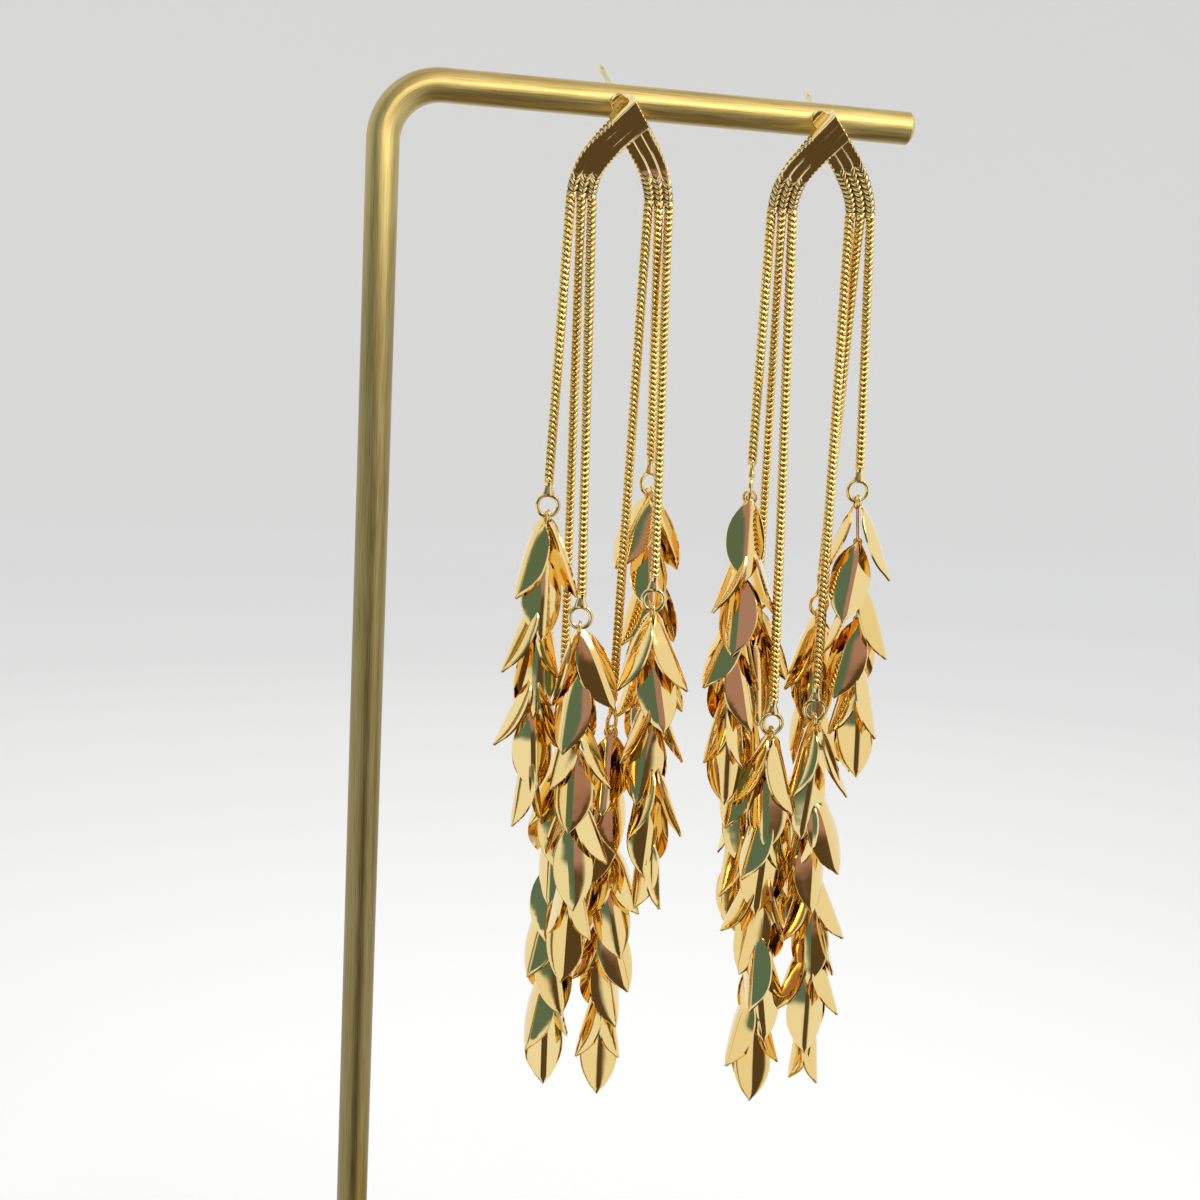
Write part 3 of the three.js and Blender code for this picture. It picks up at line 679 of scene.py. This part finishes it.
def row_depth(drop, row):
    """How far a row's necks are below the ring's centre: the rows are evenly spaced down the drop."""
    pitch = (drop["length"] - FIRST_ROW_DROP - LEAF_LENGTH) / (drop["rows"] - 1)
    return FIRST_ROW_DROP + row * pitch


def thread_at(drop, depth):
    """The middle of a drop at a depth below the ring's centre, on a line from there to the last row."""
    lean = depth / row_depth(drop, drop["rows"] - 1)
    return ring_centre(drop) + np.array([drop["lean_x"] * lean, drop["lean_y"] * lean, -depth])


def neighbours_at(earring, drop, height):
    """The other drops' threads at a height, or the chains of those that start lower.

    Gives the place, the share of the way to it that a leaf may take, and what is kept clear of that.
    """
    for other in earring["drops"]:
        depth = -other["ring_drop"] - height
        if other is drop or depth > other["length"]:
            continue
        if depth > FIRST_ROW_DROP:
            yield thread_at(other, depth), 0.5, NEIGHBOUR_GAP
        else:
            top, end = chain_top(earring, other), chain_foot(other)
            down = min(max((top[2] - height) / (top[2] - end[2]), 0), 1)
            yield top + (end - top) * down, 1.0, CHAIN_RADIUS + CLEARANCE


def flare_with_room(earring, drop, row, neck, azimuth):
    """The angle that a leaf stands out at.

    The rows below hold it out, and it goes no further than the plane midway to a neighbour, at its widest
    and at its tip.
    """
    held = min((drop["rows"] - 1 - row) / 2, 1)
    slope = math.sin(LAST_ROW_FLARE + (LEAF_FLARE - LAST_ROW_FLARE) * held)
    for reach, half_width in ((0.5 * LEAF_LENGTH, LEAF_HALF_WIDTH), (LEAF_LENGTH, 0.0)):
        for place, share, allowance in neighbours_at(earring, drop, neck[2] - reach):
            offset = place - neck
            distance = math.hypot(offset[0], offset[1])
            between = azimuth - math.atan2(offset[1], offset[0])
            if math.cos(between) < FACING:
                continue
            room = distance * share - allowance - half_width * abs(math.sin(between))
            slope = min(slope, (room / math.cos(between) - LEAF_NECK_RADIUS) / reach)
    return max(math.asin(max(slope, 0)), LEAF_FLARE_LEAST)


def leaf_shape(bow):
    """One pressed leaf: +X faces outward, +Y is across, and it hangs along -Z from its neck.

    With s from 0 at the neck to 1 at the tip, the half width is W (1 - |2s - 0.98|^2.3)^0.92, where W is
    the leaf's largest half width. The depth is flat on a stripe down the middle and falls away at the
    fold's slope on both sides of it. A bow, largest a little above halfway down, is added to it. The
    front's rim is eased.
    """
    s = 0.5 - 0.5 * np.cos(np.linspace(0.0, math.pi, LEAF_ROWS))
    s = 0.5 * s + 0.5 * np.linspace(0, 1, LEAF_ROWS)
    half = PRESSED_HALF_WIDTH * np.clip(1 - np.abs(2 * s - 0.98) ** 2.3, 0, 1) ** 0.92
    half = np.maximum(half, np.where(s < 0.5, 0.3, 0.07))
    middle = np.minimum(LEAF_STRIPE, 0.4 * half)
    front = [half, half - np.minimum(0.1, 0.2 * half), 0.62 * half, middle + 0.05, middle - 0.05]
    front_y = np.stack(front + [-v for v in front[::-1]], -1)
    back_y = np.stack([-half, -0.5 * half, -middle, middle, 0.5 * half, half], -1)
    slope = math.tan(LEAF_FOLD) * ease(s, 0.0, 0.22)[:, None]

    def depth(y):
        """The fold: 0 on the stripe, and back from its edges at the slope."""
        return -slope * np.maximum(np.abs(y) - middle[:, None], 0)

    front_x = depth(front_y)
    front_x[:, [0, -1]] -= 0.05
    swell = bow * (1 - (2 * s - 1) ** 2) + 0.25 * bow * np.sin(2 * math.pi * s)
    x = np.concatenate([front_x, depth(back_y) - LEAF_SHEET], -1) + swell[:, None]
    y = np.concatenate([front_y, back_y], -1)
    z = np.broadcast_to(-PRESSED_LENGTH * s[:, None], y.shape)
    return np.stack([x, y, z], -1)


def tab_shape():
    """The leaf's tab: a flat strip that goes up from the neck and curls in over the wire it hangs on."""
    bend = np.linspace(0, math.radians(250), 9)
    curl = 0.34
    x = np.concatenate([[0.0, 0.0], -curl * (1 - np.cos(bend))]) - 0.5 * LEAF_SHEET
    z = np.concatenate([[-0.7, -0.3], curl * np.sin(bend)])
    path = np.stack([x, 0 * x, z], -1)
    width = np.linspace(0.34, 0.22, len(path))
    section = np.stack([np.stack([s * width, t * np.full(len(path), 0.11)], -1)
                        for s, t in ((1, 1), (-1, 1), (-1, -1), (1, -1))], 1)
    return swept(path, section, np.array([0, 1.0, 0]))


def leaf_place(earring, drop, row, half, neck, rng):
    """The turn and the place of a leaf's neck, hung out of true by chance, and its bow.

    A leaf that has no room to stand out has none to sway in either. The leaves at the sides turn towards
    the front, and those at the front and the back stand out less.
    """
    azimuth = math.radians(drop["turn"]) + (row % 2) * math.pi / 2 + half * math.pi
    flare = flare_with_room(earring, drop, row, neck, azimuth)
    sway, twist, lift, bow, swing = np.clip(rng.normal(0, 1, 5), -2, 2)
    free = min(flare / LEAF_FLARE, 1)
    sideways, behind = abs(math.cos(azimuth)), max(math.sin(azimuth), 0)
    flare *= 0.62 + 0.38 * sideways
    azimuth -= SIDE_TURN * sideways * math.copysign(1, math.cos(azimuth))
    azimuth += (SWAY + SWAY_BEHIND * behind) * sway * free
    flare = max(flare + LIFT * lift * free, LEAF_FLARE_LEAST)
    turn = (turn_z(azimuth) @ turn_y(-flare) @ turn_x(SWING * swing * free) @
            turn_z(TWIST * twist * (0.4 + 0.6 * free)))
    place = neck + turn_z(azimuth) @ np.array([LEAF_NECK_RADIUS + 0.35, 0, 0.0])
    return turn, place, 0.26 + 0.1 * bow


def drop_skins(earring, drop, rng):
    """All the leaves of a drop with their tabs, and the wires they hang on.

    Each row has a loop that its two tabs curl over, and a straight bar joins each loop to the next. The
    eye hangs on the drop's ring.
    """
    leaves, tabs, numbers, loops, bars = [], [], [], [], []
    matrix, origin = earring_place(earring)
    for row in range(drop["rows"]):
        neck = thread_at(drop, row_depth(drop, row))
        for half in (0, 1):
            turn, place, bow = leaf_place(earring, drop, row, half, neck, rng)
            leaves.append(placed(placed(leaf_shape(bow), turn, place), matrix, origin))
            tabs.append(placed(placed(tab_shape(), turn, place), matrix, origin))
            numbers.append(rng.random())
        loop_turn = turn_z(math.radians(drop["turn"]) + ((row + 1) % 2) * math.pi / 2)
        loop_place = neck + np.array([0, 0, 0.05])
        loops.append(placed(placed(hoop(0.46, 0.17, 14, 7), loop_turn, loop_place), matrix, origin))
    for row in range(drop["rows"] - 1):
        top = thread_at(drop, row_depth(drop, row) + 0.4)
        foot = thread_at(drop, row_depth(drop, row + 1) - 0.5)
        path = top + (foot - top) * np.linspace(0, 1, 4)[:, None]
        bars.append(placed(swept(path, circle(0.2, 8), np.array([1.0, 0, 0])), matrix, origin))
    eye_turn = turn_z(math.radians(drop["ring_turn"] + 90))
    eye_place = ring_centre(drop) - [0, 0, RING_RADIUS]
    eye = placed(placed(hoop(EYE_RADIUS, EYE_WIRE, 24, 10), eye_turn, eye_place), matrix, origin)
    number = np.array(numbers)[:, None, None]
    leaf_skins = [skin(np.stack(leaves), leaf_number=number), skin(np.stack(tabs), leaf_number=number)]
    wire_skins = [skin(np.stack(loops), joined=True), skin(np.stack(bars)), skin(eye, joined=True)]
    return leaf_skins, wire_skins


# ---------- Building ----------

# The pieces that the strip lamp falls on.
strip_lit = [make_piece("stand_rod_bar", [rod_skin()], BRASS, ["stand_rod"], 30)]
make_piece("stand_base_plate", [base_skin()], BRASS, ["stand_base"], 30)

rng = np.random.default_rng(11)
for earring in EARRINGS:
    name = earring["name"]
    matrix, origin = earring_place(earring)
    bands = []
    for side in (-1, 1):
        points, groove = band_skin(earring, side)
        bands.append(skin(placed(points, matrix, origin), groove=groove[None]))
    make_piece(f"{name}_crown_bands", bands, CROWN_GOLD, [f"{name}_crown"], 50)
    post, cup = post_skins(earring)
    make_piece(f"{name}_ear_post", [post], POST_METAL, [f"{name}_crown"])
    make_piece(f"{name}_post_cup", [cup], CROWN_GOLD, [f"{name}_crown"])
    for drop in earring["drops"]:
        key = drop["name"]
        twist = rng.uniform(-0.7, 0.7)
        strip_lit.append(make_piece(f"{name}_chain_links_{key}", [chain_skin(earring, drop, twist)],
                                    CHAIN_GOLD, [f"{name}_chain_{key}"], 60))
        make_piece(f"{name}_cap_and_ring_{key}", ring_skins(earring, drop), RING_GOLD,
                   [f"{name}_ring_{key}"], 60)
        leaf_skins, wire_skins = drop_skins(earring, drop, rng)
        make_piece(f"{name}_leaf_pieces_{key}", leaf_skins, LEAF_GOLD,
                   [f"{name}_leaves_{key}"], 35)
        make_piece(f"{name}_drop_wires_{key}", wire_skins, RING_GOLD,
                   [f"{name}_leaves_{key}"], 60)


# ---------- Floor, light and camera ----------

def pale_bowl():
    """A floor that curves up all round into a wall: a flat disc, a quarter circle and a plumb wall, turned.

    It glows by its distance from the origin, a painted pool of light, so it is brightest under the stand.
    """
    flat, bend, wall = 1.2, 0.9, 4.0
    # The row at 0.4 m keeps the floor's shading level round the stand.
    profile = [(0.001, 0.0), (0.4, 0.0), (flat, 0.0)]
    profile += [(flat + bend * math.sin(a), bend * (1 - math.cos(a)))
                for a in np.linspace(0, math.pi / 2, 24)[1:]]
    profile += [(flat + bend, wall)]
    points = turned(profile, 128)
    mesh = bpy.data.meshes.new("pale_bowl")
    rings, around, _ = points.shape
    index = np.arange(rings * around).reshape(rings, around)
    beside = np.roll(index, -1, axis=1)
    quads = np.stack([index[:-1], beside[:-1], beside[1:], index[1:]], -1).reshape(-1, 4)
    mesh.from_pydata(points.reshape(-1, 3).tolist(), [], quads.tolist())
    mesh.polygons.foreach_set("use_smooth", np.ones(len(quads), bool))
    material, tree, out = new_material("pale_paper_painted_glow")
    place = add(tree, "ShaderNodeTexCoord").outputs["Object"]
    away = add(tree, "ShaderNodeVectorMath", {0: place}, operation="LENGTH").outputs["Value"]
    # Painted light: the glow is brightest under the stand and dims further out.
    glow = ramp(tree, away, [(0.12, "#D6D6D5"), (0.3, "#C1C1C0"), (0.55, "#ADADAC"), (0.9, "#A5A5A4")])
    shader = add(tree, "ShaderNodeBsdfPrincipled", {"Emission Color": glow}, Roughness=0.9,
                 Emission_Strength=1.0)
    shader.inputs["Base Color"].default_value = linear("#A6A6A4")
    tree.links.new(shader.outputs[0], out.inputs[0])
    mesh.materials.append(material)
    bowl = bpy.data.objects.new("pale_bowl", mesh)
    bpy.context.scene.collection.objects.link(bowl)
    bowl.visible_glossy = False
    bowl.visible_shadow = False


def studio_world():
    """The light all round, as the gold mirrors it.

    A pale tent is behind and at both sides. The front is a dark room: brown low down, mauve higher up and
    a white panel above that, with teal at the left. The roof is dim, and the floor is brown.
    """
    world = bpy.data.worlds.new("studio")
    bpy.context.scene.world = world
    world.use_nodes = True
    tree = world.node_tree
    tree.nodes.clear()
    way = add(tree, "ShaderNodeTexCoord").outputs["Generated"]
    x, y, z = add(tree, "ShaderNodeSeparateXYZ", {"Vector": way}).outputs

    def blend(factor, a, b):
        """From a to b, each a colour or a node's output."""
        node = add(tree, "ShaderNodeMix", {0: factor}, data_type="RGBA")
        for slot, value in ((6, a), (7, b)):
            if isinstance(value, tuple):
                node.inputs[slot].default_value = value
            else:
                tree.links.new(value, node.inputs[slot])
        return node.outputs[2]

    def step(value, start, end):
        """An eased step from 0 at start to 1 at end."""
        return remap(tree, value, start, end, interpolation_type="SMOOTHSTEP")

    pale = (0.90, 0.98, 1.2, 1)
    brown = (0.10, 0.072, 0.05, 1)
    mauve = (0.42, 0.28, 0.42, 1)
    teal = (0.11, 0.21, 0.25, 1)
    white = (1.3, 1.25, 1.2, 1)
    roof = (0.52, 0.47, 0.44, 1)
    front = blend(step(z, 0.12, 0.24), brown, mauve)
    front = blend(step(z, 0.64, 0.72), front, white)
    colour = blend(step(y, -0.42, -0.12), front, pale)
    colour = blend(step(x, 0.42, 0.56), colour, pale)
    colour = blend(step(x, -0.2, -0.36), colour, pale)
    front_left = calculated(tree, "MULTIPLY", step(x, -0.14, -0.26), step(y, -0.12, -0.34))
    level = calculated(tree, "MULTIPLY", step(z, 0.78, 0.66), step(z, -0.03, 0.05))
    colour = blend(calculated(tree, "MULTIPLY", front_left, level), colour, teal)
    colour = blend(step(z, 0.84, 0.92), colour, roof)
    colour = blend(step(z, -0.62, -0.8), colour, brown)
    background = add(tree, "ShaderNodeBackground", {"Color": colour}, Strength=1.0)
    out = add(tree, "ShaderNodeOutputWorld")
    tree.links.new(background.outputs[0], out.inputs[0])


def set_up(holder, axes, place):
    """Puts a lamp or a camera at a place, in metres. The columns of axes are its right, up and back."""
    rows = [(*axis, where) for axis, where in zip(axes, place)]
    holder.matrix_world = Matrix(rows + [(0, 0, 0, 1)])


def soft_lamp(name, place, aim, wide, tall, power, lit=None):
    """A soft lamp of a width and height at a place, in metres, turned towards a point.

    lit is the pieces it falls on, if it doesn't fall on everything.
    """
    lamp = bpy.data.lights.new(name, "AREA")
    lamp.shape = "RECTANGLE"
    lamp.size = wide
    lamp.size_y = tall
    lamp.energy = power
    holder = bpy.data.objects.new(name, lamp)
    bpy.context.scene.collection.objects.link(holder)
    if lit:
        holder.light_linking.receiver_collection = bpy.data.collections.new(name + "_falls_on")
        for piece in lit:
            holder.light_linking.receiver_collection.objects.link(piece)
    back = unit(np.array(place) - np.array(aim))
    side = unit(np.cross([0, 0, 1.0], back))
    set_up(holder, np.stack([side, np.cross(back, side), back], -1), place)


def make_camera():
    """A 39 mm lens in front of the stand, a little left of it, looking slightly down."""
    camera = bpy.data.cameras.new("front_camera")
    camera.lens = 39.0
    camera.sensor_width = 36.0
    camera.clip_start = 0.005
    holder = bpy.data.objects.new("front_camera", camera)
    bpy.context.scene.collection.objects.link(holder)
    # Before it is turned, the camera looks level to the back.
    level_to_the_back = np.array([[1.0, 0, 0], [0, 0, -1.0], [0, 1.0, 0]])
    axes = turn_z(CAMERA_TURN) @ turn_x(CAMERA_TILT) @ turn_y(CAMERA_ROLL) @ level_to_the_back
    set_up(holder, axes, np.array(CAMERA_PLACE) * MM)
    bpy.context.scene.camera = holder


pale_bowl()
studio_world()
soft_lamp("right_softbox", (1.0, -0.6, 1.1), (0, 0, 0.1), 0.6, 0.6, 6.0)
# Light linking keeps the strip off the crowns and the leaves, as a card would.
soft_lamp("front_strip", (0.05, -0.2, 0.245), (0, 0, 0.18), 0.26, 0.05, 0.28, strip_lit)
make_camera()
bpy.context.scene.view_settings.view_transform = "Standard"
